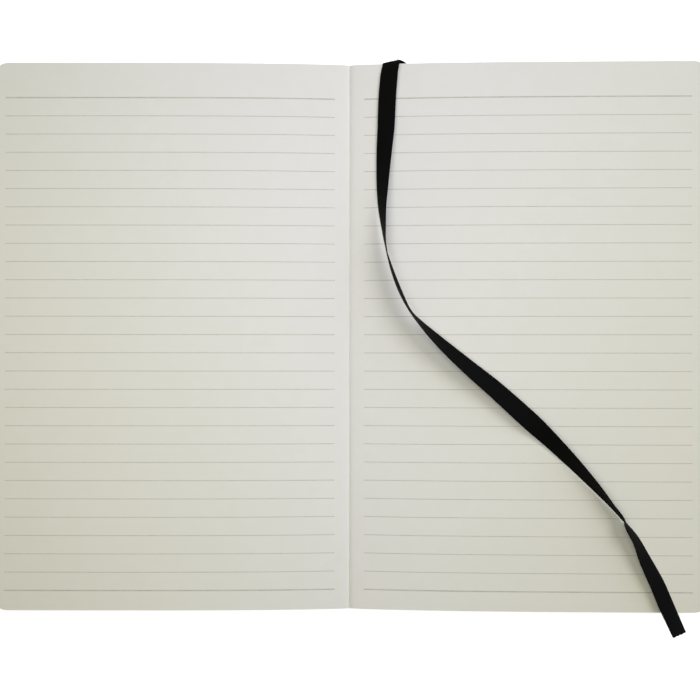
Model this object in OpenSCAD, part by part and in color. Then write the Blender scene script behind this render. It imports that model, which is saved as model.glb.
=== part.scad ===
// Open ruled notebook with a ribbon marker, lying flat and opened at its middle.
// The origin is the centre of the spine's underside. +X runs to the right page's fore edge,
// +Y to the head of the pages and +Z up from the table. All lengths are in millimetres.

/* [Leaves] */
// Width of the open leaf, from the gutter to its fore edge
leaf_w = 136; // [127:1:180]
// Height of a leaf, from tail to head
leaf_h = 210; // [180:1:300]
// Number of leaves on each side of the opening
leaves_per_side = 60; // [50:1:80]
// Thickness of one leaf
leaf_t = 0.1; // [0.09:0.005:0.13]
// Radius of the rounded outer corners
corner_r = 4.5; // [2:0.5:10]
// Height of the open page above the endpaper at the gutter
gutter_rise = 4; // [3.2:0.1:5]
// Height of the open page above the endpaper at the fore edge
edge_rise = 7.75; // [6.5:0.05:10]
// Distance over which the page climbs out of the gutter
climb = 35; // [15:1:60]
// Distance that the lowest leaf's fore edge stands out past the top leaf's
fan = 3; // [0.5:0.5:9]

/* [Cover] */
// Thickness of the cover boards and of the spine strip, with their covering
board_t = 1; // [0.6:0.1:3]
// Distance that the cover stands out past the leaves
overhang = 0.5; // [0.2:0.1:3]
// Width of the crease between the spine strip and each board
crease = 0.3; // [0.3:0.1:1]
// Radius of the soft edge that the covering gives each board
edge_r = 0.3; // [0.1:0.05:0.4]
// Thickness of the endpapers
endpaper_t = 0.2; // [0.1:0.05:0.4]
// Distance that each endpaper stays back from the board's edges
endpaper_inset = 0.5; // [0.2:0.1:3]
// Thickness of the cloth that lines the spine
lining_t = 0.3; // [0.2:0.05:0.5]

/* [Ribbon marker] */
// Width of the ribbon
ribbon_w = 7; // [4:0.5:8]
// Thickness of the ribbon
ribbon_t = 0.3; // [0.2:0.05:0.5]
// Gap that the ribbon leaves between the leaves that hold it, on each face
ribbon_slack = 0.35; // [0.25:0.05:0.45]

/* [Hidden] */
$fn = 64;

cover_black = "#1c1b1a";
lining_grey = "#b9b4a8";
paper_ivory = "#e4e3dd";
endpaper_ivory = "#dcdacf";
ribbon_black = "#121110";

turn_gap = 0.15;
half_block = leaves_per_side * leaf_t;
hinge_x = half_block / 2 + turn_gap / 2;
lining_top = board_t + lining_t;
hinge_z = lining_top + hinge_x;
fold_r = hinge_x - turn_gap;
page_floor = board_t + endpaper_t;

fold_angle = asin((page_floor + gutter_rise - hinge_z) / fold_r);
page_start = hinge_x - fold_r * cos(fold_angle);
page_steps = 28;
fold_steps = 12;
fore_slant = atan(fan / edge_rise);
far_edge = leaf_w + fan;

cover_h = leaf_h + 2 * overhang;
cover_edge = far_edge + overhang;
cover_corner_r = corner_r + overhang;
cut_margin = 5;

// Share of the climb from the gutter to the fore edge that a page has made at x
function climbed(x) =
    (1 - exp((page_start - x) / climb)) / (1 - exp((page_start - leaf_w) / climb));

// Height of the open page above the table at a distance x from the gutter
function page_z(x) = page_floor + gutter_rise + (edge_rise - gutter_rise) * climbed(x);

// Stations across the page, closer together near the gutter
page_stations = [for (i = [0 : page_steps])
    page_start + (leaf_w - page_start) * pow(i / page_steps, 1.6)];

// Section of one half of the leaves: flat below, slanted at the fore edge, curved on top and
// rounded where the folds of the leaves turn against the spine
stack_section = concat(
    [[hinge_x + crease, page_floor], [far_edge, page_floor]],
    [for (i = [page_steps : -1 : 0]) [page_stations[i], page_z(page_stations[i])]],
    [for (i = [1 : fold_steps])
        let (a = fold_angle - (fold_angle + 90) * i / fold_steps)
        [hinge_x - fold_r * cos(a), hinge_z + fold_r * sin(a)]]);

// Outline of a board or sheet with rounded outer corners
module board_plan(x0, x1, h, r) {
    translate([x0, -h / 2])
        square([x1 - x0 - r, h]);
    translate([x0, r - h / 2])
        square([x1 - x0, h - 2 * r]);
    for (side = [-1, 1])
        translate([x1 - r, side * (h / 2 - r)])
            circle(r);
}

// Board with its covering turned over the edges, which softens them
module board() {
    x0 = hinge_x + crease;
    translate([0, 0, edge_r])
        linear_extrude(board_t - 2 * edge_r)
            board_plan(x0, cover_edge, cover_h, cover_corner_r);
    linear_extrude(board_t)
        board_plan(x0, cover_edge - edge_r, cover_h - 2 * edge_r, cover_corner_r - edge_r);
}

// Sheet pasted to the inside of a board
module endpaper() {
    translate([0, 0, board_t])
        linear_extrude(endpaper_t)
            board_plan(hinge_x + crease, cover_edge - endpaper_inset - edge_r,
                cover_h - 2 * endpaper_inset - 2 * edge_r, corner_r);
}

// Material outside the rounded corner of the leaves, along their slanted fore edge
module corner_waste() {
    size = 2 * corner_r;
    depth = edge_rise / cos(fore_slant) + 2 * cut_margin;
    translate([far_edge - corner_r / cos(fore_slant), leaf_h / 2 - corner_r, page_floor])
        rotate([0, -fore_slant, 0])
            translate([0, 0, -cut_margin])
                difference() {
                    cube([size, size, depth]);
                    translate([0, 0, -1])
                        cylinder(r = corner_r, h = depth + 2);
                }
}

// One half of the leaves, drawn on the right of the gutter
module page_stack() {
    difference() {
        translate([0, leaf_h / 2, 0])
            rotate([90, 0, 0])
                linear_extrude(leaf_h)
                    polygon(stack_section);
        corner_waste();
        mirror([0, 1, 0])
            corner_waste();
    }
}

// Route of the ribbon. Each point is its distance from the gutter, its place along the page,
// its height above the open page, the compass angle of its width and the lean of that width.
// The ribbon's hidden end lies askew between two leaves. It leaves them at the head, turns
// over, stands on edge twice where it bends, and hangs past the tail.
ribbon_depth = -1.25;
ribbon_turn = 42;
ribbon_route = [
    [28.9, 92.5, ribbon_depth, ribbon_turn, 2.5],
    [25.5, 96.2, ribbon_depth, ribbon_turn, 2.5],
    [22.5, 99.6, ribbon_depth, ribbon_turn, 2.5],
    [20, 102.3, ribbon_depth, ribbon_turn, 2.5],
    [19, 103.3, -1.33, 38, 3],
    [16.8, 104, -1.23, 28, 5],
    [16.1, 105.8, -0.71, 15, 9],
    [16.1, 105.6, 0.58, 6, 11],
    [15.9, 104.7, 1.49, 7, 21],
    [15.3, 101.7, 1.97, 7, 23],
    [14.9, 97.9, 1.8, 5, 19],
    [14.5, 93.1, 1.73, 3, 18],
    [14.2, 87, 1.86, 2, 19],
    [13.9, 79.7, 2.17, 1, 23],
    [13.3, 71.8, 2.68, 1, 33],
    [12.8, 63.7, 3.33, 2, 44],
    [12.5, 56.3, 4.12, 4, 54],
    [12.4, 49.2, 4.92, 6, 66],
    [12.9, 41.7, 5.7, 10, 78],
    [13.7, 34.2, 6.39, 14, 90],
    [15.9, 25.3, 6.86, 19, 100],
    [19, 16.8, 7.1, 24, 103],
    [22.8, 9.5, 7.08, 30, 100],
    [27, 4.5, 6.8, 36, 110],
    [32.2, -0.6, 6.24, 42, 123],
    [38.5, -6.3, 5.48, 47, 135],
    [46.1, -12.8, 4.66, 52, 148],
    [55.4, -20.5, 3.87, 56, 163],
    [65.8, -29.8, 3.24, 58, 179],
    [74.4, -37.7, 3.07, 52, 211],
    [84.1, -47.4, 3.26, 49, 231],
    [92.4, -56.3, 3.6, 46, 247],
    [98.3, -63, 3.84, 42, 261],
    [102.3, -67.7, 3.87, 38, 270],
    [104.2, -71.3, 4.38, 33, 290],
    [107.8, -76.7, 3.7, 28, 304],
    [111.5, -84.3, 2.81, 24, 320],
    [116.4, -93.9, 2.15, 24, 333],
    [119.3, -100.6, 1.9, 24, 336],
    [122.1, -106.8, 1.8, 24, 333],
    [124.9, -112.9, 1.6, 24, 331]];
ribbon_last = len(ribbon_route) - 1;

function clamp_index(i) = max(0, min(ribbon_last, i));

// Smooth curve through the route: s counts points along it
function route_at(s) =
    let (
        i = min(ribbon_last - 1, floor(s)),
        u = s - i,
        a = ribbon_route[clamp_index(i - 1)],
        b = ribbon_route[i],
        c = ribbon_route[i + 1],
        d = ribbon_route[clamp_index(i + 2)])
    0.5 * (2 * b + (c - a) * u + (2 * a - 5 * b + 4 * c - d) * u * u
        + (3 * b - a - 3 * c + d) * u * u * u);

function unit(v) = v / norm(v);
function centre_at(s) =
    let (p = route_at(s))
    [p[0], p[1], page_z(p[0]) + p[2]];
function heading_at(s) =
    unit(centre_at(min(ribbon_last, s + 0.05)) - centre_at(max(0, s - 0.05)));
function width_at(s) =
    let (
        p = route_at(s),
        w = [cos(p[4]) * cos(p[3]), cos(p[4]) * sin(p[3]), sin(p[4])],
        t = heading_at(s))
    unit(w - (w * t) * t);

// Four corners of the ribbon's section
function section_at(s) =
    let (
        c = centre_at(s),
        w = width_at(s) * ribbon_w / 2,
        n = unit(cross(heading_at(s), width_at(s))) * ribbon_t / 2)
    [c - w - n, c + w - n, c + w + n, c - w + n];

ribbon_rings = 2 * ribbon_last;

module ribbon_marker() {
    points = [for (k = [0 : ribbon_rings]) each section_at(k / 2)];
    // Both broad faces are split along the same diagonal, so the twists keep their thickness
    sides = [for (k = [0 : ribbon_rings - 1], e = [0 : 3])
        let (a = 4 * k + e, b = 4 * k + (e + 1) % 4)
        each e < 2 ? [[a, b, b + 4], [a, b + 4, a + 4]] : [[a, b, a + 4], [b, b + 4, a + 4]]];
    first = [[0, 3, 2], [0, 2, 1]];
    n = 4 * ribbon_rings;
    last = [[n, n + 1, n + 2], [n, n + 2, n + 3]];
    color(ribbon_black)
        polyhedron(points, concat(sides, first, last));
}

// Gap between two leaves, open at the head, that the ribbon's hidden end lies in
module ribbon_gap() {
    start = ribbon_route[0];
    w = ribbon_w + 10 * ribbon_slack;
    t = ribbon_t + 2 * ribbon_slack;
    reach = (leaf_h / 2 - start[1] + ribbon_w) / cos(ribbon_turn);
    level = [for (x = [start[0] - reach : 2 : start[0] + ribbon_w])
        [x, page_z(x) + ribbon_depth]];
    intersection() {
        translate([0, leaf_h / 2 + 1, 0])
            rotate([90, 0, 0])
                linear_extrude(leaf_h)
                    polygon(concat([for (p = level) p - [0, t / 2]],
                        [for (i = [len(level) - 1 : -1 : 0]) level[i] + [0, t / 2]]));
        translate([start[0], start[1], 0])
            rotate([0, 0, ribbon_turn])
                translate([-w / 2, -1, page_floor])
                    cube([w, reach + 2, edge_rise]);
    }
}

module spine() {
    color(cover_black)
        translate([-hinge_x, -cover_h / 2, 0])
            cube([2 * hinge_x, cover_h, board_t]);
}

module spine_lining() {
    w = 2 * (hinge_x - crease);
    h = leaf_h - 2 * endpaper_inset;
    color(lining_grey)
        translate([-w / 2, -h / 2, board_t])
            cube([w, h, lining_t]);
}

module front_cover() {
    color(cover_black)
        mirror([1, 0, 0])
            board();
}

module back_cover() {
    color(cover_black)
        board();
}

module front_endpaper() {
    color(endpaper_ivory)
        mirror([1, 0, 0])
            endpaper();
}

module back_endpaper() {
    color(endpaper_ivory)
        endpaper();
}

module left_pages() {
    color(paper_ivory)
        mirror([1, 0, 0])
            page_stack();
}

module right_pages() {
    color(paper_ivory)
        difference() {
            page_stack();
            ribbon_gap();
        }
}

spine();
spine_lining();
front_cover();
back_cover();
front_endpaper();
back_endpaper();
left_pages();
right_pages();
ribbon_marker();
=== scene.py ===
"""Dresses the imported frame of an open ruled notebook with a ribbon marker.

Lengths are worked out in millimetres in the object's own frame: the origin is the centre of the
spine's underside, +X runs to the right page's fore edge, +Y to the head of the pages and +Z up.
"""

import logging
import math
from dataclasses import dataclass, field
from enum import Enum
from typing import Any, Callable, Sequence

import bpy
import numpy as np
from bpy.types import Material, Node, NodeSocket, NodeTree, Object
from mathutils import Euler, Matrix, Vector


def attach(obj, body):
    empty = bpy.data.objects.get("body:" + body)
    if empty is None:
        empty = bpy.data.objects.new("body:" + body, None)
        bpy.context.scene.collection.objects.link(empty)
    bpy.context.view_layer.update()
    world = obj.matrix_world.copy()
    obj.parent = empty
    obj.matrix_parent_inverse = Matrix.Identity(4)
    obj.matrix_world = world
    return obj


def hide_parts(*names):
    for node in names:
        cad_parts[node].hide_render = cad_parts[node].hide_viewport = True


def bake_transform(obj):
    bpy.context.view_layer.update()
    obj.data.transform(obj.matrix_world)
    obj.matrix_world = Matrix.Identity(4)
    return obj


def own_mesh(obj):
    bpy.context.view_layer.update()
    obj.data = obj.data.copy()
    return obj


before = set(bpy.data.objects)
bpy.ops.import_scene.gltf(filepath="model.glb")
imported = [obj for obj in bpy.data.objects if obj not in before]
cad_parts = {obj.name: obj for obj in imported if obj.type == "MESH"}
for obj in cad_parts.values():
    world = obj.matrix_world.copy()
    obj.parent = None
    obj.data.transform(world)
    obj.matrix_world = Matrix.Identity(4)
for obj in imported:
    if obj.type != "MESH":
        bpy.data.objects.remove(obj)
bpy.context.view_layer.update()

log = logging.getLogger("notebook")

MM = 0.001
# A Grid holds lengths or shares, and Indices hold the numbers of points
Grid = np.ndarray
Indices = np.ndarray
Face = tuple[int, ...]
Pair = tuple[float, float]
Triple = tuple[float, float, float]
Row = tuple[float, ...]
Source = Node | NodeSocket


class Side(Enum):
    """The half of the open notebook that a piece belongs to."""

    LEFT = -1
    RIGHT = 1

    @property
    def word(self) -> str:
        """Word that the pieces of this half start with."""
        return "left" if self is Side.LEFT else "right"

    @property
    def cover(self) -> str:
        """Which cover lies under this half."""
        return "front" if self is Side.LEFT else "back"

    @property
    def body(self) -> str:
        """Body that this half's leaves move with."""
        return f"{self.cover}_half"


@dataclass(frozen=True)
class Sizes:
    """Sizes of the notebook's solids, in millimetres."""

    leaf_w: float = 136.0
    leaf_h: float = 210.0
    leaves: int = 60
    leaf_t: float = 0.1
    corner_r: float = 4.5
    gutter_rise: float = 4.0
    edge_rise: float = 7.75
    climb: float = 35.0
    fan: float = 3.0
    board_t: float = 1.0
    overhang: float = 0.5
    endpaper_t: float = 0.2
    lining_t: float = 0.3
    turn_gap: float = 0.15

    @property
    def hinge_x(self) -> float:
        """Distance of each half's hinge line from the middle of the spine."""
        return (self.leaves * self.leaf_t + self.turn_gap) / 2

    @property
    def hinge_z(self) -> float:
        """Height of each half's hinge line."""
        return self.board_t + self.lining_t + self.hinge_x

    @property
    def fold_r(self) -> float:
        """Radius that the folds of the leaves turn on."""
        return self.hinge_x - self.turn_gap

    @property
    def page_floor(self) -> float:
        """Height of the lowest leaf's underside."""
        return self.board_t + self.endpaper_t

    @property
    def fold_angle(self) -> float:
        """Angle on the fold at which the open page begins, in radians."""
        return math.asin((self.page_floor + self.gutter_rise - self.hinge_z) / self.fold_r)

    @property
    def page_start(self) -> float:
        """Distance from the middle at which the open page begins."""
        return self.hinge_x - self.fold_r * math.cos(self.fold_angle)

    def page_z(self, x: Grid) -> Grid:
        """Height of the open page.

        Args:
            x: distance from the gutter.

        Returns:
            The height above the table.
        """
        full = 1 - math.exp((self.page_start - self.leaf_w) / self.climb)
        share = (1 - np.exp((self.page_start - x) / self.climb)) / full
        return self.page_floor + self.gutter_rise + (self.edge_rise - self.gutter_rise) * share


SIZES = Sizes()


@dataclass(frozen=True)
class PageRelief:
    """Small forms on the open page's curve: its dip at the gutter and its cockling, in mm."""

    lip_start: float = 0.014
    lip_depth: float = 0.64
    lip_width: float = 0.8
    calm: float = 8.0
    fade: float = 60.0
    long_rise: float = 0.10
    long_wave: float = 118.0
    long_phase: float = 0.7
    short_rise: float = 0.035
    short_wave: float = 47.0
    short_slant: float = 160.0
    short_phase: float = 2.1

    def dip(self, x: Grid) -> Grid:
        """How far the page turns down into the gutter, at a distance from it."""
        return self.lip_depth * np.exp(-(x - self.lip_start) / self.lip_width)

    def cockle(self, x: Grid, y: Grid) -> Grid:
        """Slight waviness that damp air leaves in a block of paper.

        Args:
            x: distance from the gutter.
            y: place along the page.

        Returns:
            How far the page stands off its smooth curve.
        """
        away = np.clip((x - self.calm) / self.fade, 0, 1)
        long_turn = 2 * np.pi * y / self.long_wave + self.long_phase
        short_turn = 2 * np.pi * (y / self.short_wave + x / self.short_slant) + self.short_phase
        return (self.long_rise * np.sin(long_turn) * away
                + self.short_rise * np.sin(short_turn) * away)


RELIEF = PageRelief()


# Meshes


# Straight stretch that a mesh keeps before a rounded corner, in millimetres
CORNER_LEAD = 1.0
# Degrees between the rows that round a corner
CORNER_STEP = 15
# Least distance of other rows from a rounded corner
ROW_GAP = 0.05
# Decimals to which rows are kept, so that equal ones fall together
ROW_DIGITS = 5
# Shares of the way to the outer edge at which the last columns of hidden sheets lie
CORNER_SHARES = (0.25, 0.5, 0.75, 1.0)


def add_object(name: str, data: bpy.types.ID) -> Object:
    """Makes an object and links it into the scene.

    Args:
        name: its name.
        data: the mesh, lamp or camera that it shows.

    Returns:
        The object.
    """
    made = bpy.data.objects.new(name, data)
    bpy.context.scene.collection.objects.link(made)
    return made


@dataclass
class MeshParts:
    """Points, faces and per-face and per-point data of one piece, on the right half."""

    points: list[Grid] = field(default_factory=list)
    faces: list[Face] = field(default_factory=list)
    slots: list[int] = field(default_factory=list)
    uv: list[Grid] = field(default_factory=list)
    tone: list[Grid] = field(default_factory=list)
    count: int = 0

    def add_points(self, points: Grid, uv: Grid | None = None, tone: float = 0.0) -> Indices:
        """Adds points.

        Args:
            points: places, one row each.
            uv: place of each on the unrolled surface, if it isn't as seen from above.
            tone: shade number of all these points.

        Returns:
            The indices of the new points, in the shape of the given array.
        """
        flat = points.reshape(-1, 3)
        self.points.append(flat)
        self.uv.append(flat[:, :2] if uv is None else uv.reshape(-1, 2))
        self.tone.append(np.full(len(flat), tone))
        first = self.count
        self.count += len(flat)
        return np.arange(first, self.count).reshape(points.shape[:-1])

    def add_faces(self, faces: Sequence[Face], slot: int = 0) -> None:
        """Adds faces that take one material slot."""
        self.faces.extend(tuple(int(i) for i in f) for f in faces)
        self.slots.extend([slot] * len(faces))

    def object(self, name: str, side: Side, crease_deg: float, *materials: Material) -> Object:
        """Makes the Blender object.

        Args:
            name: name of the piece.
            side: half that it lies on.
            crease_deg: angle above which an edge stays sharp.
            materials: what its slots hold.

        Returns:
            The object, linked into the scene.
        """
        points = np.concatenate(self.points)
        faces = self.faces
        if side is Side.LEFT:
            points = points * np.array([-1.0, 1.0, 1.0])
            faces = [f[::-1] for f in faces]
        mesh = bpy.data.meshes.new(name)
        mesh.from_pydata((points * MM).tolist(), [], faces)
        mesh.polygons.foreach_set("material_index", np.array(self.slots, np.int32))
        unrolled = np.concatenate(self.uv)
        corner = np.zeros(len(mesh.loops), np.int32)
        mesh.loops.foreach_get("vertex_index", corner)
        layer = mesh.uv_layers.new(name="surface")
        layer.data.foreach_set("uv", unrolled[corner].astype(np.float32).ravel())
        tone = mesh.attributes.new("tone", "FLOAT", "POINT")
        tone.data.foreach_set("value", np.concatenate(self.tone).astype(np.float32))
        mesh.shade_smooth()
        mesh.set_sharp_from_angle(angle=math.radians(crease_deg))
        mesh.update()
        for material in materials:
            mesh.materials.append(material)
        return add_object(name, mesh)


def rim_of(indices: Indices) -> Indices:
    """Indices round the edge of a grid, anticlockwise seen from above."""
    return np.concatenate(
        [indices[:-1, 0], indices[-1, :-1], indices[:0:-1, -1], indices[0, :0:-1]]
    )


def quads_of(indices: Indices, up: bool) -> list[Face]:
    """Faces of a grid.

    Args:
        indices: point indices, first along X and then along Y.
        up: whether the faces look up.

    Returns:
        Four corners for each face, in the grid's order.
    """
    a, b, c, d = indices[:-1, :-1], indices[1:, :-1], indices[1:, 1:], indices[:-1, 1:]
    order = (a, b, c, d) if up else (a, d, c, b)
    return list(map(tuple, np.stack([k.ravel() for k in order], axis=1)))


def wall_between(low: Indices, high: Indices) -> list[Face]:
    """Faces that join two closed rings of equal count and look outwards."""
    low_next, high_next = np.roll(low, -1), np.roll(high, -1)
    return list(map(tuple, np.stack([low, low_next, high_next, high], axis=1)))


def corner_rows(half_h: float, radius: float, middle: Sequence[float]) -> Grid:
    """Rows of a sheet, with those that round its corners.

    Args:
        half_h: half the sheet's height.
        radius: radius of its rounded corners.
        middle: the rows between the corners.

    Returns:
        All rows from tail to head.
    """
    turns = np.radians(np.arange(0, 91, CORNER_STEP))
    arc = (half_h - radius + radius * np.sin(turns)).round(ROW_DIGITS)
    inner = [y for y in middle if abs(y) < half_h - radius - ROW_GAP]
    return np.array(sorted({*-arc, *arc, *np.round(inner, ROW_DIGITS)}))


def sheet_plan(columns: Grid, middle: Sequence[float], edge: float, radius: float, half_h: float,
               last: Sequence[float] = CORNER_SHARES) -> tuple[Grid, Grid]:
    """Plan of a sheet with rounded outer corners.

    Args:
        columns: X of the straight columns.
        middle: Y of the rows between the corners.
        edge: X of the outer edge.
        radius: radius of the outer corners.
        half_h: half the sheet's height.
        last: shares of the way to the outer edge at which the last columns lie.

    Returns:
        X and Y of every point.
    """
    rows = corner_rows(half_h, radius, middle)
    over = np.clip(np.abs(rows) - (half_h - radius), 0, radius)
    reach = edge - radius + np.sqrt(radius**2 - over**2)
    x = np.repeat(columns[:, None], len(rows), axis=1)
    tail = columns[-1] + (reach[None, :] - columns[-1]) * np.asarray(last)[:, None]
    x = np.concatenate([x, tail])
    return x, np.repeat(rows[None, :], len(x), axis=0)


# Finishes


def linear(hex_colour: str) -> tuple[float, float, float, float]:
    """Converts a colour to the numbers that shaders take.

    Args:
        hex_colour: an sRGB colour, such as #eae8e4.

    Returns:
        Linear red, green and blue, and an alpha of 1.
    """
    parts = [int(hex_colour[i:i + 2], 16) / 255 for i in (1, 3, 5)]
    low = [c / 12.92 if c <= 0.04045 else ((c + 0.055) / 1.055) ** 2.4 for c in parts]
    return (*low, 1.0)


def feed(tree: NodeTree, node: Node, links: dict[Any, Source]) -> None:
    """Links a node's inputs.

    Args:
        tree: the node tree.
        node: the node.
        links: by name or number, the socket or the node whose first output feeds the input.
    """
    for key, source in links.items():
        if isinstance(source, Node):
            source = next(socket for socket in source.outputs if socket.enabled)
        tree.links.new(source, node.inputs[key])


def add_node(tree: NodeTree, kind: str, settings: dict[str, Any] | None = None,
             values: dict[Any, Any] | None = None, links: dict[Any, Source] | None = None) -> Node:
    """Adds a node with its settings and links.

    Args:
        tree: the node tree.
        kind: the node's type, without the word that all of them start with.
        settings: attributes of the node.
        values: values of its inputs, by name or number.
        links: what feeds its inputs, by name or number.

    Returns:
        The node.
    """
    node = tree.nodes.new("ShaderNode" + kind)
    for key, value in (settings or {}).items():
        setattr(node, key, value)
    for key, value in (values or {}).items():
        node.inputs[key].default_value = value
    feed(tree, node, links or {})
    return node


def empty_tree(owner: Material | bpy.types.World) -> NodeTree:
    """Gives a material or the world a node tree with nothing in it.

    Args:
        owner: the material or the world.

    Returns:
        The tree.
    """
    owner.use_nodes = True
    owner.node_tree.nodes.clear()
    return owner.node_tree


@dataclass(frozen=True)
class Finish:
    """A material: its name, the numbers that its shader starts from and the depth of its relief."""

    name: str
    colour: str
    shade: str
    roughness: float
    ior: float = 1.5
    relief: float = 0.0
    relief_mm: float = 0.0
    sunken: bool = False
    # Values of the pattern at which the colour starts and ends its turn to the shade
    turn: Pair = (0.0, 1.0)
    # Whether the pattern lies on the unrolled piece, in millimetres, or in the piece's own space
    unrolled: bool = False

    def make(self) -> Material:
        """Makes the material.

        Returns:
            The material, with its shader and the finish's own pattern.
        """
        material = bpy.data.materials.new(self.name)
        tree = empty_tree(material)
        shader = add_node(tree, "BsdfPrincipled", values={
            "Base Color": linear(self.colour), "Roughness": self.roughness, "IOR": self.ior,
        })
        add_node(tree, "OutputMaterial", links={"Surface": shader})
        material.diffuse_color = linear(self.colour)
        if self.unrolled:
            self.draw(tree, shader, add_node(tree, "UVMap", {"uv_map": "surface"}).outputs["UV"])
        else:
            self.draw(tree, shader, add_node(tree, "TexCoord").outputs["Object"])
        return material

    def draw(self, tree: NodeTree, shader: Node, place: NodeSocket) -> None:
        """Draws the pattern by the place on the piece. Each finish has its own."""
        raise NotImplementedError

    def lay(self, tree: NodeTree, shader: Node, pattern: Node, height: Node | None = None) -> Node:
        """Lays the pattern on the shader: its tone and, with a height, its relief.

        Args:
            tree: the material's node tree.
            shader: the shader node.
            pattern: what turns the colour to the shade.
            height: how high the surface stands.

        Returns:
            The node of the tone.
        """
        share = add_node(tree, "MapRange", values={
            "From Min": self.turn[0], "From Max": self.turn[1],
        }, links={"Value": pattern})
        tone = add_node(tree, "Mix", {"data_type": "RGBA"}, {
            "A": linear(self.colour), "B": linear(self.shade),
        }, {"Factor": share})
        feed(tree, shader, {"Base Color": tone})
        if height is not None:
            bump = add_node(tree, "Bump", {"invert": self.sunken}, {
                "Strength": self.relief, "Distance": self.relief_mm * MM,
            }, {"Height": height})
            feed(tree, shader, {"Normal": bump})
        return tone


@dataclass(frozen=True)
class WoodfreePaper(Finish):
    """Uncoated woodfree writing paper, machine calendered: matt, of cloudy pulp and fine tooth."""

    colour: str = "#eae8e4"
    shade: str = "#e8e6e0"
    roughness: float = 0.88
    turn: Pair = (0.45, 0.92)
    relief: float = 0.25
    relief_mm: float = 0.03
    # Painted warm shade: the paper turns slightly darker and yellower from the gutter's head out to
    # the fore-edge and the tail
    painted_shade_tint: str = "#fcfcee"
    painted_shade_reach_mm: float = 160.0
    tail_share: float = 0.45
    # Pulp clouds of a real sheet are 3 to 8 mm across
    cloud_mm: float = 6.0
    # Fibres are 0.03 mm thick, too fine to show, so the tooth is drawn at 0.5 mm
    tooth_mm: float = 0.5
    tooth_share: float = 0.35

    def draw(self, tree: NodeTree, shader: Node, place: NodeSocket) -> None:
        """Draws the paper, whose tone drifts softly, whose tooth breaks up the light and over which
        a painted warm shade spreads outwards.

        Args:
            tree: the material's node tree.
            shader: the shader node.
            place: what gives the place on the piece.
        """
        cloud = add_node(tree, "TexNoise", values={
            "Scale": 1 / (self.cloud_mm * MM), "Detail": 4.0, "Roughness": 0.55,
        }, links={"Vector": place})
        tooth = add_node(tree, "TexNoise", values={
            "Scale": 1 / (self.tooth_mm * MM), "Detail": 3.0, "Roughness": 0.6,
        }, links={"Vector": place})
        both = add_node(tree, "Math", {"operation": "MULTIPLY_ADD"}, {
            1: self.tooth_share,
        }, {0: tooth, 2: cloud})
        tone = self.lay(tree, shader, both, tooth)
        # Painted shade: a warm tint is multiplied in, darker and yellower towards the fore-edge and
        # the tail
        tone_with_painted_shade = add_node(tree, "Mix", {"data_type": "RGBA", "blend_type": "MULTIPLY"}, {
            "B": linear(self.painted_shade_tint),
        }, {"Factor": self.age(tree, place), "A": tone})
        feed(tree, shader, {"Base Color": tone_with_painted_shade})

    def age(self, tree: NodeTree, place: NodeSocket) -> Node:
        """Adds the nodes that tell how much painted warm shade the paper takes at each place.

        Args:
            tree: the paper's node tree.
            place: what gives the place on the paper.

        Returns:
            A node that gives 0 at the gutter's head and grows to 1 at the outer tail corners.
        """
        parts = add_node(tree, "SeparateXYZ", links={"Vector": place})
        across = add_node(tree, "Math", {"operation": "ABSOLUTE"}, links={0: parts.outputs["X"]})
        reach = add_node(tree, "Math", {"operation": "MULTIPLY_ADD"}, {
            1: -self.tail_share,
        }, {0: parts.outputs["Y"], 2: across})
        return add_node(tree, "MapRange", values={
            "From Max": self.painted_shade_reach_mm * MM,
        }, links={"Value": reach})


@dataclass(frozen=True)
class RulingInk(Finish):
    """Grey offset ink on woodfree paper: matt, and patchy where the paper's tooth lets it drop."""

    colour: str = "#bab9ab"
    shade: str = "#cac8ba"
    roughness: float = 0.85
    turn: Pair = (0.35, 0.65)
    # The ink breaks up over 2 to 5 mm along a line
    patch_mm: float = 3.0

    def draw(self, tree: NodeTree, shader: Node, place: NodeSocket) -> None:
        """Draws the ink, lighter in patches along each line.

        Args:
            tree: the material's node tree.
            shader: the shader node.
            place: what gives the place on the piece.
        """
        patch = add_node(tree, "TexNoise", values={
            "Scale": 1 / (self.patch_mm * MM), "Detail": 3.0, "Roughness": 0.65,
        }, links={"Vector": place})
        self.lay(tree, shader, patch)


@dataclass(frozen=True)
class TrimmedEdges(Finish):
    """Guillotined edges of the leaves: chalky, each leaf a shade off the next."""

    colour: str = "#e6e3d9"
    shade: str = "#b9b4a6"
    roughness: float = 0.92
    turn: Pair = (0.35, 1.15)
    relief: float = 0.4
    relief_mm: float = 0.08
    # The blade's marks are about 12 mm long and 0.5 mm high: a pattern of 1.5 mm, stretched
    mark_mm: float = 1.5
    stretch: Triple = (0.12, 0.12, 3.0)
    leaf_share: float = 0.7

    def draw(self, tree: NodeTree, shader: Node, place: NodeSocket) -> None:
        """Draws the edges, whose shade follows the leaf and wanders along it.

        Args:
            tree: the material's node tree.
            shader: the shader node.
            place: what gives the place on the piece.
        """
        leaf = add_node(tree, "Attribute", {"attribute_name": "tone"})
        stretch = add_node(tree, "Mapping", values={"Scale": self.stretch},
                           links={"Vector": place})
        wander = add_node(tree, "TexNoise", values={
            "Scale": 1 / (self.mark_mm * MM), "Detail": 4.0, "Roughness": 0.6,
        }, links={"Vector": stretch})
        both = add_node(tree, "Math", {"operation": "MULTIPLY_ADD"}, {
            1: self.leaf_share,
        }, {0: leaf.outputs["Fac"], 2: wander})
        self.lay(tree, shader, both, wander)


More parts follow.
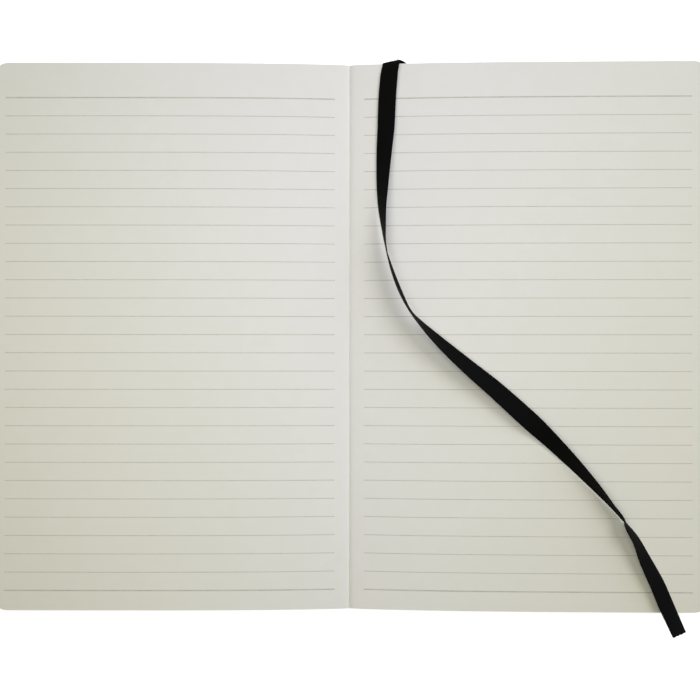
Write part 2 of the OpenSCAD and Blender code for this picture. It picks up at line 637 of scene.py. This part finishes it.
@dataclass(frozen=True)
class Leatherette(Finish):
    """Black PVC leatherette, embossed: pebbled grain with a low, broken gloss."""

    colour: str = "#131312"
    shade: str = "#1f1e1c"
    roughness: float = 0.48
    turn: Pair = (0.6, 0.15)
    unrolled: bool = True
    ior: float = 1.53
    relief: float = 0.55
    relief_mm: float = 0.12
    sunken: bool = True
    valley_roughness: float = 0.58
    worn_roughness: float = 0.42
    # Embossed pebbles are 0.5 to 1 mm across, drawn at 1.3 mm so that they show
    pebble_mm: float = 1.3
    # The pebbles are moved aside by 0.8 mm or less, in waves that come 0.35 times a millimetre
    sway_mm: float = 0.8
    sways_per_mm: float = 0.35
    # Creases inside a pebble are 0.25 mm apart
    fine_mm: float = 0.25
    fine_share: float = 0.18

    def draw(self, tree: NodeTree, shader: Node, place: NodeSocket) -> None:
        """Draws the leatherette, with valleys between its pebbles and worn, lighter tops.

        Args:
            tree: the material's node tree.
            shader: the shader node.
            place: what gives the place on the piece.
        """
        sway = add_node(tree, "TexNoise", values={
            "Scale": self.sways_per_mm, "Detail": 2.0,
        }, links={"Vector": place})
        shift = add_node(tree, "VectorMath", {"operation": "MULTIPLY_ADD"}, {
            1: (self.sway_mm,) * 3,
        }, {0: sway.outputs["Color"], 2: place})
        pebble = add_node(tree, "TexVoronoi", {"feature": "SMOOTH_F1"}, {
            "Scale": 1 / self.pebble_mm, "Smoothness": 0.35,
        }, {"Vector": shift})
        fine = add_node(tree, "TexNoise", values={
            "Scale": 1 / self.fine_mm, "Detail": 3.0,
        }, links={"Vector": place})
        height = add_node(tree, "Math", {"operation": "MULTIPLY_ADD"}, {
            1: self.fine_share,
        }, {0: fine, 2: pebble})
        gloss = add_node(tree, "MapRange", values={
            "From Min": self.turn[0], "From Max": self.turn[1],
            "To Min": self.valley_roughness, "To Max": self.worn_roughness,
        }, links={"Value": pebble})
        feed(tree, shader, {"Roughness": gloss})
        self.lay(tree, shader, pebble, height)


@dataclass(frozen=True)
class SatinRibbon(Finish):
    """Black woven satin ribbon: deep black, with a faint sheen along its threads."""

    name: str = "woven_satin_ribbon"
    colour: str = "#060606"
    shade: str = "#0b0b0a"
    roughness: float = 0.62
    turn: Pair = (-1.2, 1.6)
    unrolled: bool = True
    ior: float = 1.54
    relief: float = 0.35
    relief_mm: float = 0.05
    sheen: float = 0.022
    # Weft threads lie 0.25 mm apart, drawn at 0.6 mm so that they show
    weft_mm: float = 0.6
    # Warp threads are finer still, drawn at 0.45 mm
    warp_mm: float = 0.45
    warp_share: float = 0.5
    # Thick places in the thread come 0.9 times a millimetre
    slubs_per_mm: float = 0.9
    slub_share: float = 0.6

    def draw(self, tree: NodeTree, shader: Node, place: NodeSocket) -> None:
        """Draws the ribbon, with ribs across it and thread floats along it.

        Args:
            tree: the material's node tree.
            shader: the shader node.
            place: what gives the place on the piece.
        """
        shader.inputs["Specular IOR Level"].default_value = self.sheen
        split = add_node(tree, "SeparateXYZ", links={"Vector": place})
        waves = {}
        for way, spacing in (("Y", self.weft_mm), ("X", self.warp_mm)):
            turn = add_node(tree, "Math", {"operation": "MULTIPLY"}, {
                1: 2 * math.pi / spacing,
            }, {0: split.outputs[way]})
            waves[way] = add_node(tree, "Math", {"operation": "SINE"}, links={0: turn})
        weave = add_node(tree, "Math", {"operation": "MULTIPLY_ADD"}, {
            1: self.warp_share,
        }, {0: waves["X"], 2: waves["Y"]})
        slub = add_node(tree, "TexNoise", values={
            "Scale": self.slubs_per_mm, "Detail": 3.0,
        }, links={"Vector": place})
        height = add_node(tree, "Math", {"operation": "MULTIPLY_ADD"}, {
            1: self.slub_share,
        }, {0: slub, 2: weave})
        self.lay(tree, shader, height, height)


@dataclass(frozen=True)
class MullCloth(Finish):
    """Starched cotton mull, open woven: dull grey-white threads crossing squarely."""

    name: str = "woven_mull_cloth"
    colour: str = "#b9b4a8"
    shade: str = "#8f8a7e"
    roughness: float = 0.95
    turn: Pair = (1.0, 0.0)
    relief: float = 0.6
    relief_mm: float = 0.1
    # Threads of mull lie 0.7 mm apart
    thread_mm: float = 0.7
    # Bands that a wave pattern of scale 1 draws in a metre
    bands: float = 3.18

    def draw(self, tree: NodeTree, shader: Node, place: NodeSocket) -> None:
        """Draws the cloth as two crossing sets of threads, with the shade in the gaps.

        Args:
            tree: the material's node tree.
            shader: the shader node.
            place: what gives the place on the piece.
        """
        threads = [add_node(tree, "TexWave", {
            "wave_type": "BANDS", "bands_direction": way,
        }, {
            "Scale": 1 / (self.thread_mm * MM) / self.bands, "Distortion": 0.6,
        }, {"Vector": place}).outputs["Fac"] for way in ("X", "Y")]
        cross = add_node(tree, "Math", {"operation": "MULTIPLY"}, links={
            0: threads[0], 1: threads[1],
        })
        self.lay(tree, shader, cross, cross)


# Studio


@dataclass(frozen=True)
class Lamp:
    """A soft square lamp: where it hangs and how wide it is, in metres, and what it gives."""

    name: str
    place: Triple
    side: float
    watts: float
    colour: str


@dataclass(frozen=True)
class Studio:
    """White floor, soft lamps and the camera that looks straight down on the pages."""

    camera_mm: Triple = (3.545, -6.967, 328.9)
    camera_deg: Triple = (0.302, 0.592, 0.044)
    lens: float = 43.084
    sensor: float = 36.0
    clip: float = 0.01
    world_colour: str = "#ffe1aa"
    world_strength: float = 0.10
    floor_colour: str = "#e6e6e6"
    # Sizes of the floor, in metres
    floor_half: float = 3.0
    floor_drop: float = 0.0002
    # Far from the lamps the floor glows more, so that it stays white out to its rim: distances
    # in metres, and the strength at each
    glow_reach: Pair = (0.3, 0.9)
    glow: Pair = (0.8, 1.0)
    lamps: tuple[Lamp, ...] = (
        Lamp("key_lamp", (0.388, 0.342, 0.699), 0.40, 2.76, "#f6faff"),
        Lamp("side_lamp", (0.911, 0.638, 0.450), 0.90, 4.83, "#cad6ff"),
        Lamp("top_lamp", (-0.035, 0.017, 0.338), 0.20, 0.594, "#fcfffc"),
    )

    def build(self) -> None:
        """Makes the camera, the lamps, the world and the floor."""
        self.build_camera()
        self.build_lamps()
        self.build_world()
        self.build_floor()

    def build_camera(self) -> None:
        """Places the camera where the photograph was taken from."""
        data = bpy.data.cameras.new("camera")
        data.lens = self.lens
        data.sensor_width = self.sensor
        data.clip_start = self.clip
        camera = add_object("camera", data)
        camera.location = Vector(self.camera_mm) * MM
        camera.rotation_euler = Euler([math.radians(a) for a in self.camera_deg])
        bpy.context.scene.camera = camera

    def build_lamps(self) -> None:
        """Hangs the lamps, each aimed at the middle of the pages."""
        for lamp in self.lamps:
            data = bpy.data.lights.new(lamp.name, "AREA")
            data.shape = "SQUARE"
            data.size = lamp.side
            data.energy = lamp.watts
            data.color = linear(lamp.colour)[:3]
            made = add_object(lamp.name, data)
            made.location = lamp.place
            made.rotation_euler = Vector(lamp.place).to_track_quat("Z", "Y").to_euler()

    def build_world(self) -> None:
        """Makes the soft light from all round, which is white where it is seen directly."""
        world = bpy.data.worlds.new("studio_air")
        bpy.context.scene.world = world
        tree = empty_tree(world)
        air = add_node(tree, "Background", values={
            "Color": linear(self.world_colour), "Strength": self.world_strength,
        })
        white = add_node(tree, "Background", values={"Color": (1, 1, 1, 1), "Strength": 1.0})
        mix = add_node(tree, "MixShader", links={0: self.seen_directly(tree), 1: air, 2: white})
        add_node(tree, "OutputWorld", links={"Surface": mix})

    def seen_directly(self, tree: NodeTree) -> Node:
        """Adds the nodes that tell whether a surface is seen directly.

        Args:
            tree: the node tree.

        Returns:
            A node that gives 1 for camera, glossy and transmission rays, and 0 for others.
        """
        path = add_node(tree, "LightPath")
        glossy = add_node(tree, "Math", {"operation": "ADD"}, links={
            0: path.outputs["Is Camera Ray"], 1: path.outputs["Is Glossy Ray"],
        })
        return add_node(tree, "Math", {"operation": "ADD", "use_clamp": True}, links={
            0: glossy, 1: path.outputs["Is Transmission Ray"],
        })

    def build_floor(self) -> None:
        """Makes the white floor, which shows white and keeps the notebook's shadow."""
        mesh = bpy.data.meshes.new("floor")
        signs = ((-1, -1), (1, -1), (1, 1), (-1, 1))
        corners = [(a * self.floor_half, b * self.floor_half, -self.floor_drop) for a, b in signs]
        mesh.from_pydata(corners, [], [(0, 1, 2, 3)])
        floor = add_object("floor", mesh)
        material = bpy.data.materials.new("white_floor")
        tree = empty_tree(material)
        paint = add_node(tree, "BsdfDiffuse", values={"Color": linear(self.floor_colour)})
        place = add_node(tree, "TexCoord").outputs["Object"]
        away = add_node(tree, "VectorMath", {"operation": "LENGTH"}, links={0: place})
        strength = add_node(tree, "MapRange", values={
            "From Min": self.glow_reach[0], "From Max": self.glow_reach[1],
            "To Min": self.glow[0], "To Max": self.glow[1],
        }, links={"Value": away})
        glow = add_node(tree, "Emission", values={"Color": (1, 1, 1, 1)},
                        links={"Strength": strength})
        lit = add_node(tree, "AddShader", links={0: paint, 1: glow})
        mix = add_node(tree, "MixShader", links={0: self.seen_directly(tree), 1: paint, 2: lit})
        add_node(tree, "OutputMaterial", links={"Surface": mix})
        mesh.materials.append(material)


# Pieces


@dataclass
class RibbonMarker:
    """Ribbon that leaves the leaves at the head, turns over them and wanders past the tail."""

    width: float = 7.0
    thickness: float = 0.28
    # The selvedges are thicker by this much on each face, from the first share of the half width
    # on, over the second
    selvedge: float = 0.05
    selvedge_place: Pair = (0.84, 0.08)
    # The rim is rounded off in the same way, and keeps this share of its squared thickness
    rounding_place: Pair = (0.93, 0.07)
    rounding_least: float = 0.12
    cup: float = 0.14
    # Where it stands on edge at a twist, the ribbon curls across its width: the point of the
    # route, the reach in points and the depth
    curls: tuple[Triple, ...] = ((20.7, 1.5, 0.42), (33.3, 1.6, 0.62))
    cut_slant: float = 0.8
    cut_reach: float = 5.0
    # How far a thread at the cut end stands out, at least and at most
    fray: Pair = (-0.12, 0.22)
    across: int = 14
    rings_per_point: int = 11
    crease_deg: float = 50.0
    seed: int = 11
    # Point of the route at which the ribbon leaves the leaves
    exit_point: float = 4.0
    # Each point is the ribbon's distance from the gutter, its place along the page, its height
    # above the open page, the compass angle of its width and the lean of that width
    route: tuple[tuple[float, float, float, float, float], ...] = (
        (28.9, 92.5, -1.25, 42, 2.5), (25.5, 96.2, -1.25, 42, 2.5), (22.5, 99.6, -1.25, 42, 2.5),
        (20, 102.3, -1.25, 42, 2.5), (19, 103.3, -1.33, 38, 3), (16.8, 104, -1.23, 28, 5),
        (16.1, 105.8, -0.71, 15, 9), (16.1, 105.6, 0.58, 6, 11), (15.9, 104.7, 1.49, 7, 21),
        (15.3, 101.7, 1.97, 7, 23), (14.9, 97.9, 1.8, 5, 19), (14.5, 93.1, 1.73, 3, 18),
        (14.2, 87, 1.86, 2, 19), (13.9, 79.7, 2.17, 1, 23), (13.3, 71.8, 2.68, 1, 33),
        (12.8, 63.7, 3.33, 2, 44), (12.5, 56.3, 4.12, 4, 54), (12.4, 49.2, 4.92, 6, 66),
        (12.9, 41.7, 5.7, 10, 78), (13.7, 34.2, 6.39, 14, 90), (15.9, 25.3, 6.86, 19, 100),
        (19, 16.8, 7.1, 24, 103), (22.8, 9.5, 7.08, 30, 100), (27, 4.5, 6.8, 36, 110),
        (32.2, -0.6, 6.24, 42, 123), (38.5, -6.3, 5.48, 47, 135), (46.1, -12.8, 4.66, 52, 148),
        (55.4, -20.5, 3.87, 56, 163), (65.8, -29.8, 3.24, 58, 179), (74.4, -37.7, 3.07, 52, 211),
        (84.1, -47.4, 3.26, 49, 231), (92.4, -56.3, 3.6, 46, 247), (98.3, -63, 3.84, 42, 261),
        (102.3, -67.7, 3.87, 38, 270), (104.2, -71.3, 4.38, 33, 290), (107.8, -76.7, 3.7, 28, 304),
        (111.5, -84.3, 2.81, 24, 320), (116.4, -93.9, 2.15, 24, 333), (119.3, -100.6, 1.9, 24, 336),
        (122.1, -106.8, 1.8, 24, 333), (124.9, -112.9, 1.6, 24, 331))

    def along(self, s: Grid) -> Grid:
        """Smooth curve through the route.

        Args:
            s: numbers of points along the route.

        Returns:
            Distance, place, lift, compass angle and lean at each.
        """
        rows = np.array(self.route)
        last = len(rows) - 1
        i = np.minimum(last - 1, np.floor(s).astype(int))
        u = (s - i)[:, None]
        a, b = rows[np.maximum(i - 1, 0)], rows[i]
        c, d = rows[i + 1], rows[np.minimum(i + 2, last)]
        return 0.5 * (2 * b + (c - a) * u + (2 * a - 5 * b + 4 * c - d) * u**2
                      + (3 * b - a - 3 * c + d) * u**3)

    def centres(self, s: Grid) -> Grid:
        """Middle of the ribbon at each place along its route."""
        rows = self.along(s)
        return np.stack([rows[:, 0], rows[:, 1], SIZES.page_z(rows[:, 0]) + rows[:, 2]], axis=1)

    def frames(self, s: Grid, step: float = 0.05) -> tuple[Grid, Grid, Grid]:
        """Lie of the ribbon along its route.

        Args:
            s: numbers of points along the route.
            step: how far before and after each the heading is taken.

        Returns:
            The middle, the direction of the width and the direction of the face at each.
        """
        last = len(self.route) - 1
        heading = self.centres(np.minimum(last, s + step)) - self.centres(np.maximum(0, s - step))
        heading /= np.linalg.norm(heading, axis=1)[:, None]
        rows = self.along(s)
        turn, lean = np.radians(rows[:, 3]), np.radians(rows[:, 4])
        wide = np.stack([np.cos(lean) * np.cos(turn), np.cos(lean) * np.sin(turn), np.sin(lean)],
                        axis=1)
        wide -= (wide * heading).sum(axis=1)[:, None] * heading
        wide /= np.linalg.norm(wide, axis=1)[:, None]
        return self.centres(s), wide, np.cross(heading, wide)

    def section(self) -> list[Pair]:
        """Outline of the flat ribbon across its width.

        Returns:
            Share of the half width and height of each point, first the lower and then the upper.
        """
        t = np.linspace(-1, 1, self.across)
        thicker, rounded = [np.clip((np.abs(t) - start) / reach, 0, 1)
                            for start, reach in (self.selvedge_place, self.rounding_place)]
        half = self.thickness / 2 + self.selvedge * thicker
        half = half * np.sqrt(np.clip(1 - rounded ** 2, self.rounding_least, 1))
        return [*zip(t, -half), *zip(t[::-1], half[::-1])]

    def build(self) -> Object:
        """Makes the ribbon's mesh.

        Returns:
            The ribbon, which stands for its solid.
        """
        last = len(self.route) - 1
        s = np.linspace(0, last, last * self.rings_per_point + 1)
        centre, wide, face = self.frames(s)
        run = np.concatenate([[0], np.cumsum(np.linalg.norm(np.diff(centre, axis=0), axis=1))])
        cup = self.cup + sum(depth * np.exp(-((s - point) / reach) ** 2)
                             for point, reach, depth in self.curls)
        fray = np.random.default_rng(self.seed).uniform(*self.fray, self.across)
        heading = np.cross(wide, face)
        slant = self.cut_slant * np.clip((run - run[-1]) / self.cut_reach + 1, 0, 1)
        parts = MeshParts()
        rings = []
        for (u, v), end in zip(self.section(), [*fray, *fray[::-1]]):
            lift = v + cup * (0.5 - u**2)
            place = centre + wide * (u * self.width / 2) + face * lift[:, None]
            place += heading * (u * slant)[:, None]
            place[-1] += heading[-1] * end
            uv = np.stack([np.full(len(s), u * self.width / 2), run], axis=1)
            rings.append(parts.add_points(place, uv))
        ring = np.stack(rings, axis=1)
        for a, b in zip(ring[:-1], ring[1:]):
            parts.add_faces(wall_between(a, b))
        pairs = [(k, 2 * self.across - 1 - k) for k in range(self.across)]
        for (a, b), (c, d) in zip(pairs[:-1], pairs[1:]):
            parts.add_faces([(ring[0][a], ring[0][b], ring[0][d], ring[0][c])])
            parts.add_faces([(ring[-1][a], ring[-1][c], ring[-1][d], ring[-1][b])])
        made = parts.object("ribbon", Side.RIGHT, self.crease_deg, SatinRibbon().make())
        self.declare(made)
        return made

    def declare(self, made: Object) -> None:
        """Hides the ribbon's solid and sets the ribbon on the right half's body, with a mesh of its
        own.

        Args:
            made: the ribbon.
        """
        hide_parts("ribbon_marker")
        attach(made, Side.RIGHT.body)
        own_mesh(made)


@dataclass
class LeafStack:
    """The leaves under one open page, with each leaf's trimmed edge, folded at the gutter."""

    side: Side
    crease_deg: float = 30.0
    seed_left: int = 5
    seed_right: int = 6
    edge_play: float = 0.11
    top_turn: float = math.radians(3)
    # Distance over which a fold's lift dies out, going away from the gutter
    settle: float = 2.0
    cover_gap: float = SIZES.leaf_t + 0.02
    columns: int = 36
    crowding: float = 1.7
    # Rows lie closer together where the ribbon lies
    even_rows: tuple[int, int, int] = (-96, 80, 8)
    head_rows: Row = (84.0, 87.0, 90.0, 93.0, 96.0, 98.5)
    # The ribbon lies on this many leaves, at this depth below the open page, with half of the gap
    # above it and half below
    gap_leaf: int = 47
    gap_half: float = 0.44
    gap_depth: float = 1.25
    # Where the ribbon's route starts, and its heading there
    gap_start: Pair = (28.9, 92.5)
    gap_heading: float = math.radians(132)
    # The gap is full within the core and closes over the slope beside it. Before its start it
    # closes in the same way
    gap_shift: float = 0.4
    gap_core: float = 4.8
    gap_slope: float = 3.0
    gap_before: float = 1.0
    gap_closing: float = 6.0

    def gap(self, x: Grid, y: Grid, share: float, above: bool) -> Grid:
        """How far a leaf is pushed aside by the ribbon that lies between the leaves.

        Args:
            x: distance from the gutter.
            y: place along the page.
            share: height in the stack, 0 at the bottom and 1 at the top.
            above: whether the leaf lies above the ribbon.

        Returns:
            The rise of the leaf, below 0 where it is pushed down.
        """
        if self.side is Side.LEFT:
            return np.zeros_like(x)
        start_x, start_y = self.gap_start
        along_x, along_y = math.cos(self.gap_heading), math.sin(self.gap_heading)
        run = (x - start_x) * along_x + (y - start_y) * along_y
        aside = (x - start_x) * along_y - (y - start_y) * along_x
        off = np.abs(aside + self.gap_shift) - self.gap_core
        across = 1 - np.clip(off / self.gap_slope, 0, 1)
        down = 1 - np.clip((-self.gap_before - run) / self.gap_closing, 0, 1)
        swell = (3 - 2 * across) * across**2 * (3 - 2 * down) * down**2
        level = self.gap_leaf / SIZES.leaves
        middle = ((1 - level) * (SIZES.page_z(x) - SIZES.page_floor) + level * self.cover_gap
                  - self.gap_depth)
        if above:
            return swell * (middle + self.gap_half) * (1 - share) / (1 - level)
        return swell * (middle - self.gap_half) * share / level

    def level(self, share: float, inset: float, above: bool) -> Grid:
        """Points of one leaf's face.

        Args:
            share: height in the stack, 0 at the bottom and 1 at the top.
            inset: how far the leaf's edges stay back from the block's.
            above: whether it lies above the ribbon.

        Returns:
            A grid of points.
        """
        turn = -math.pi / 2 + (self.top_turn + math.pi / 2) * share
        fold_x = SIZES.hinge_x - SIZES.fold_r * math.cos(turn)
        fold_z = SIZES.hinge_z + SIZES.fold_r * math.sin(turn)
        edge = SIZES.leaf_w + SIZES.fan * (1 - share) - inset
        half_h = SIZES.leaf_h / 2 - inset
        steps = np.linspace(0, 1, self.columns) ** self.crowding
        straight = fold_x + (edge - SIZES.corner_r - CORNER_LEAD - fold_x) * steps
        middle = [*np.arange(*self.even_rows), *self.head_rows]
        x, y = sheet_plan(straight, middle, edge, SIZES.corner_r, half_h)
        floor = SIZES.page_floor
        page = SIZES.page_z(x) + RELIEF.cockle(x, y) - RELIEF.dip(x) - self.cover_gap
        z = floor + share * (page - floor)
        fold_page = SIZES.page_z(fold_x) - RELIEF.dip(fold_x) - self.cover_gap
        at_fold = floor + share * (fold_page - floor)
        z = z + (fold_z - at_fold) * np.exp((fold_x - x) / self.settle)
        return np.stack([x, y, z + self.gap(x, y, share, above)], axis=2)

    def add_block(self, parts: MeshParts, first: int, last: int, above: bool,
                  rng: np.random.Generator) -> None:
        """Adds a closed block of leaves.

        Args:
            parts: what it is added to.
            first: number of its lowest leaf.
            last: number after its highest leaf.
            above: whether it lies above the ribbon.
            rng: source of the small differences between leaves.
        """
        ring: Indices | None = None
        for leaf in range(first, last):
            inset = float(rng.uniform(0, self.edge_play)) if leaf > 0 else 0.0
            tone = float(rng.uniform(0, 1))
            for end in (0, 1):
                points = self.level((leaf + end) / SIZES.leaves, inset, above)
                if leaf + end in (first, last):
                    grid = parts.add_points(points, tone=tone)
                    new = rim_of(grid)
                    parts.add_faces(quads_of(grid, up=end == 1))
                else:
                    index = rim_of(np.arange(points[:, :, 0].size).reshape(points.shape[:2]))
                    new = parts.add_points(points.reshape(-1, 3)[index], tone=tone)
                if ring is not None:
                    parts.add_faces(wall_between(ring, new))
                ring = new

    def build(self) -> Object:
        """Makes the leaves.

        Returns:
            The leaves, which stand for the block's solid.
        """
        rng = np.random.default_rng(self.seed_left if self.side is Side.LEFT else self.seed_right)
        parts = MeshParts()
        self.add_block(parts, 0, self.gap_leaf, False, rng)
        self.add_block(parts, self.gap_leaf, SIZES.leaves, True, rng)
        edges = TrimmedEdges(f"guillotined_edges_{self.side.word}").make()
        made = parts.object(f"{self.side.word}_leaves", self.side, self.crease_deg, edges)
        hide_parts(f"{self.side.word}_pages")
        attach(made, self.side.body)
        return made


@dataclass(frozen=True)
class Ruling:
    """Printed lines of a page, in millimetres."""

    fore_margin: float
    pitch: float = 7.0
    count: int = 28
    head: float = 13.4
    gutter_margin: float = 5.7
    width: float = 0.26
    heavy_width: float = 0.48

    def lines(self) -> list[Pair]:
        """Works out where the lines are.

        Returns:
            Place along the page of the lower and the upper side of each line.
        """
        found = []
        for k in range(self.count):
            y = SIZES.leaf_h / 2 - self.head - self.pitch * k
            half = (self.heavy_width if k in (0, self.count - 1) else self.width) / 2
            found.append((y - half, y + half))
        return found


@dataclass
class OpenLeaf:
    """The top leaf of one side, with its printed lines, rolled down into the gutter."""

    side: Side
    ruling: Ruling
    crease_deg: float = 45.0
    roll_r: float = 3.065
    # How much thinner than a leaf it is, so that it clears the leaves below
    play: float = 0.005
    fold_deg: Row = (-52, -44, -36, -28, -20, -13, -7, -2, 2.9)
    # Columns of the climb out of the gutter. Those that follow crowd towards it
    climb_x: Row = (0.03, 0.08, 0.15, 0.25, 0.38, 0.55, 0.75, 1.0, 1.3, 1.7, 2.2, 2.8, 3.5, 4.5)
    columns: int = 44
    crowding: float = 1.25
    column_gap: float = 0.4
    outer_shares: Row = (0.45, 0.7, 0.88, 1.0)
    edge_rows: Row = (-100.2, 95.5, 98.5)

    @property
    def outer_x(self) -> float:
        """Where the last straight column stands."""
        return SIZES.leaf_w - SIZES.corner_r - CORNER_LEAD

    def profile(self) -> tuple[Grid, Grid]:
        """Section of the leaf from its hidden fold to the last straight column.

        Returns:
            X and Z of the leaf's upper face.
        """
        angles = np.radians(np.array(self.fold_deg))
        fold_x = SIZES.hinge_x - self.roll_r * np.cos(angles)
        fold_z = SIZES.hinge_z + self.roll_r * np.sin(angles)
        inner = self.ruling.gutter_margin
        far = SIZES.leaf_w - self.ruling.fore_margin
        run = inner + (far - inner) * (np.arange(1, self.columns) / self.columns) ** self.crowding
        x = np.concatenate([self.climb_x, [inner], run[run < self.outer_x - self.column_gap]])
        z = SIZES.page_z(x) - RELIEF.dip(x)
        return (np.concatenate([fold_x, x, [self.outer_x]]),
                np.concatenate([fold_z, z, [SIZES.page_z(self.outer_x)]]))

    def surfaces(self, straight: Grid, heights: Grid) -> tuple[Grid, Grid]:
        """Points of the leaf's two faces, with rows at both sides of every printed line.

        Args:
            straight: X of the straight columns.
            heights: Z of the upper face at them.

        Returns:
            Points of the upper and of the lower face.
        """
        edge = SIZES.leaf_w
        ink_end = (edge - self.ruling.fore_margin - self.outer_x) / (edge - self.outer_x)
        shares = (ink_end, *self.outer_shares)
        middle = [*self.edge_rows]
        for low, high in self.ruling.lines():
            middle += [low, high, (low + high) / 2 + self.ruling.pitch / 2]
        x, y = sheet_plan(straight, middle, edge, SIZES.corner_r, SIZES.leaf_h / 2, shares)
        flat = np.repeat(heights[:, None], x.shape[1], axis=1)
        z = np.concatenate([flat, SIZES.page_z(x[len(straight):])]) + RELIEF.cockle(x, y)
        slope_x, slope_z = np.gradient(straight), np.gradient(heights)
        size = np.hypot(slope_x, slope_z)
        nx = np.concatenate([-slope_z / size, np.zeros(len(shares))])[:, None]
        nz = np.concatenate([slope_x / size, np.ones(len(shares))])[:, None]
        thick = SIZES.leaf_t - self.play
        return np.stack([x, y, z], axis=2), np.stack([x - nx * thick, y, z - nz * thick], axis=2)

    def build(self) -> Object:
        """Makes the leaf.

        Returns:
            The leaf, with its paper and ink.
        """
        straight, heights = self.profile()
        top, low = self.surfaces(straight, heights)
        parts = MeshParts()
        under = parts.add_points(low)
        over = parts.add_points(top)
        parts.add_faces(quads_of(under, up=False))
        parts.add_faces(wall_between(rim_of(under), rim_of(over)))
        inked = np.zeros((over.shape[0] - 1, over.shape[1] - 1), bool)
        first = int(np.argmin(np.abs(straight - self.ruling.gutter_margin)))
        for line_low, _ in self.ruling.lines():
            inked[first:len(straight), int(np.argmin(np.abs(top[0, :, 1] - line_low)))] = True
        faces = list(zip(quads_of(over, up=True), inked.ravel()))
        for slot in (0, 1):
            parts.add_faces([face for face, ink in faces if ink == slot], slot)
        paper = WoodfreePaper(f"woodfree_paper_{self.side.word}").make()
        ink = RulingInk(f"grey_ink_{self.side.word}").make()
        made = parts.object(f"{self.side.word}_open_leaf", self.side, self.crease_deg, paper, ink)
        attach(made, self.side.body)
        return made


@dataclass
class Covering:
    """Leatherette over one board and its half of the spine, creased at the joint."""

    side: Side
    crease_deg: float = 60.0
    edge_r: float = 0.35
    edge_deg: Row = (90, 65, 40, 20, 0)
    near_x: Row = (0, 0.5, 1.2, 2, 2.8, 3.4, 4, 4.7, 5.4)
    # The joint is a crease outside, which shows inside at the last share of its depth
    joint_x: float = 7.4
    joint_half: float = 1.5
    joint_depth: float = 0.28
    joint_inside: float = 0.35
    joint_columns: int = 9
    far_gap: float = 1.5
    far_columns: int = 20
    rows: tuple[int, int, int] = (-96, 97, 8)
    # Millimetres along its length by which the grain inside is shifted from that outside
    grain_shift: float = 300.0
    bend_from: float = 0.5
    bend_to: float = 6.5

    def columns(self, end: float) -> Grid:
        """Columns of the covering, closest together at the joint.

        Args:
            end: X of the last one.

        Returns:
            Their X, from the middle of the spine outwards.
        """
        joint = self.joint_x + self.joint_half * np.linspace(-1, 1, self.joint_columns)
        far = np.linspace(self.joint_x + self.joint_half + self.far_gap, end, self.far_columns)
        return np.concatenate([self.near_x, joint, far])

    def build(self) -> Object:
        """Makes the covering.

        Returns:
            The covering, which stands for the board and the spine strip.
        """
        edge = SIZES.leaf_w + SIZES.fan + SIZES.overhang
        half_h = SIZES.leaf_h / 2 + SIZES.overhang
        radius = SIZES.corner_r + SIZES.overhang
        straight = self.columns(edge - radius - CORNER_LEAD)
        steps = [(self.edge_r * (1 - math.cos(a)), self.edge_r * (1 - math.sin(a)))
                 for a in np.radians(self.edge_deg)]
        levels = [*steps, *((inset, SIZES.board_t - z) for inset, z in reversed(steps))]
        parts = MeshParts()
        ring: Indices | None = None
        for k, (inset, z) in enumerate(levels):
            x, y = sheet_plan(straight, np.arange(*self.rows), edge - inset, radius - inset,
                              half_h - inset)
            into = np.clip(1 - ((x - self.joint_x) / self.joint_half) ** 2, 0, 1)
            dent = self.joint_depth * into ** 2
            share = z / SIZES.board_t
            height = z + dent * (1 - share) - self.joint_inside * dent * share
            points = np.stack([x, y, height], axis=2)
            uv = points[:, :, :2] + np.array([0, self.grain_shift if k >= len(steps) else 0.0])
            grid = parts.add_points(points, uv)
            if k in (0, len(levels) - 1):
                parts.add_faces(quads_of(grid, up=k > 0))
            if ring is not None:
                parts.add_faces(wall_between(ring, rim_of(grid)))
            ring = rim_of(grid)
        grain = Leatherette(f"leatherette_{self.side.cover}").make()
        made = parts.object(f"{self.side.cover}_covering", self.side, self.crease_deg, grain)
        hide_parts(f"{self.side.cover}_cover", "spine")
        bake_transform(made)
        return made


@dataclass
class Lining:
    """Pieces whose solids already have the right shape: the endpapers and the spine's cloth."""

    endpaper: Finish = WoodfreePaper("woodfree_endpaper", colour="#e0ddd2", shade="#d6d2c4",
                                     roughness=0.85, cloud_mm=8.0)
    cloth: Finish = MullCloth()

    def dress(self) -> None:
        """Gives the endpapers their paper and the spine lining its cloth."""
        for node, finish in (("front_endpaper", self.endpaper), ("back_endpaper", self.endpaper),
                             ("spine_lining", self.cloth)):
            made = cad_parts[node]
            material = finish.make()
            if not made.material_slots:
                made.data.materials.append(material)
            for slot in made.material_slots:
                slot.material = material


def main() -> None:
    """Builds the studio and the notebook's pieces in order, and reports each."""
    logging.basicConfig(level=logging.INFO, format="%(message)s")
    scene = bpy.context.scene
    scene.view_settings.view_transform = "Standard"
    studio = Studio()
    studio.build()
    log.info("studio: camera, %d lamps, floor", len(studio.lamps))
    # The printed lines stop a little nearer to the fore-edge on the left page
    rulings = {Side.LEFT: Ruling(fore_margin=3.9), Side.RIGHT: Ruling(fore_margin=5.5)}
    builders: list[tuple[str, Callable[[], Object]]] = [("ribbon marker", RibbonMarker().build)]
    for side in Side:
        builders += [
            (f"{side.word} leaves", LeafStack(side).build),
            (f"{side.word} open leaf", OpenLeaf(side, rulings[side]).build),
            (f"{side.cover} covering", Covering(side).build),
        ]
    for what, build in builders:
        made = build()
        log.info("%s: %d faces", what, len(made.data.polygons))
    Lining().dress()
    log.info("endpapers and spine lining dressed")


if __name__ == "__main__":
    main()
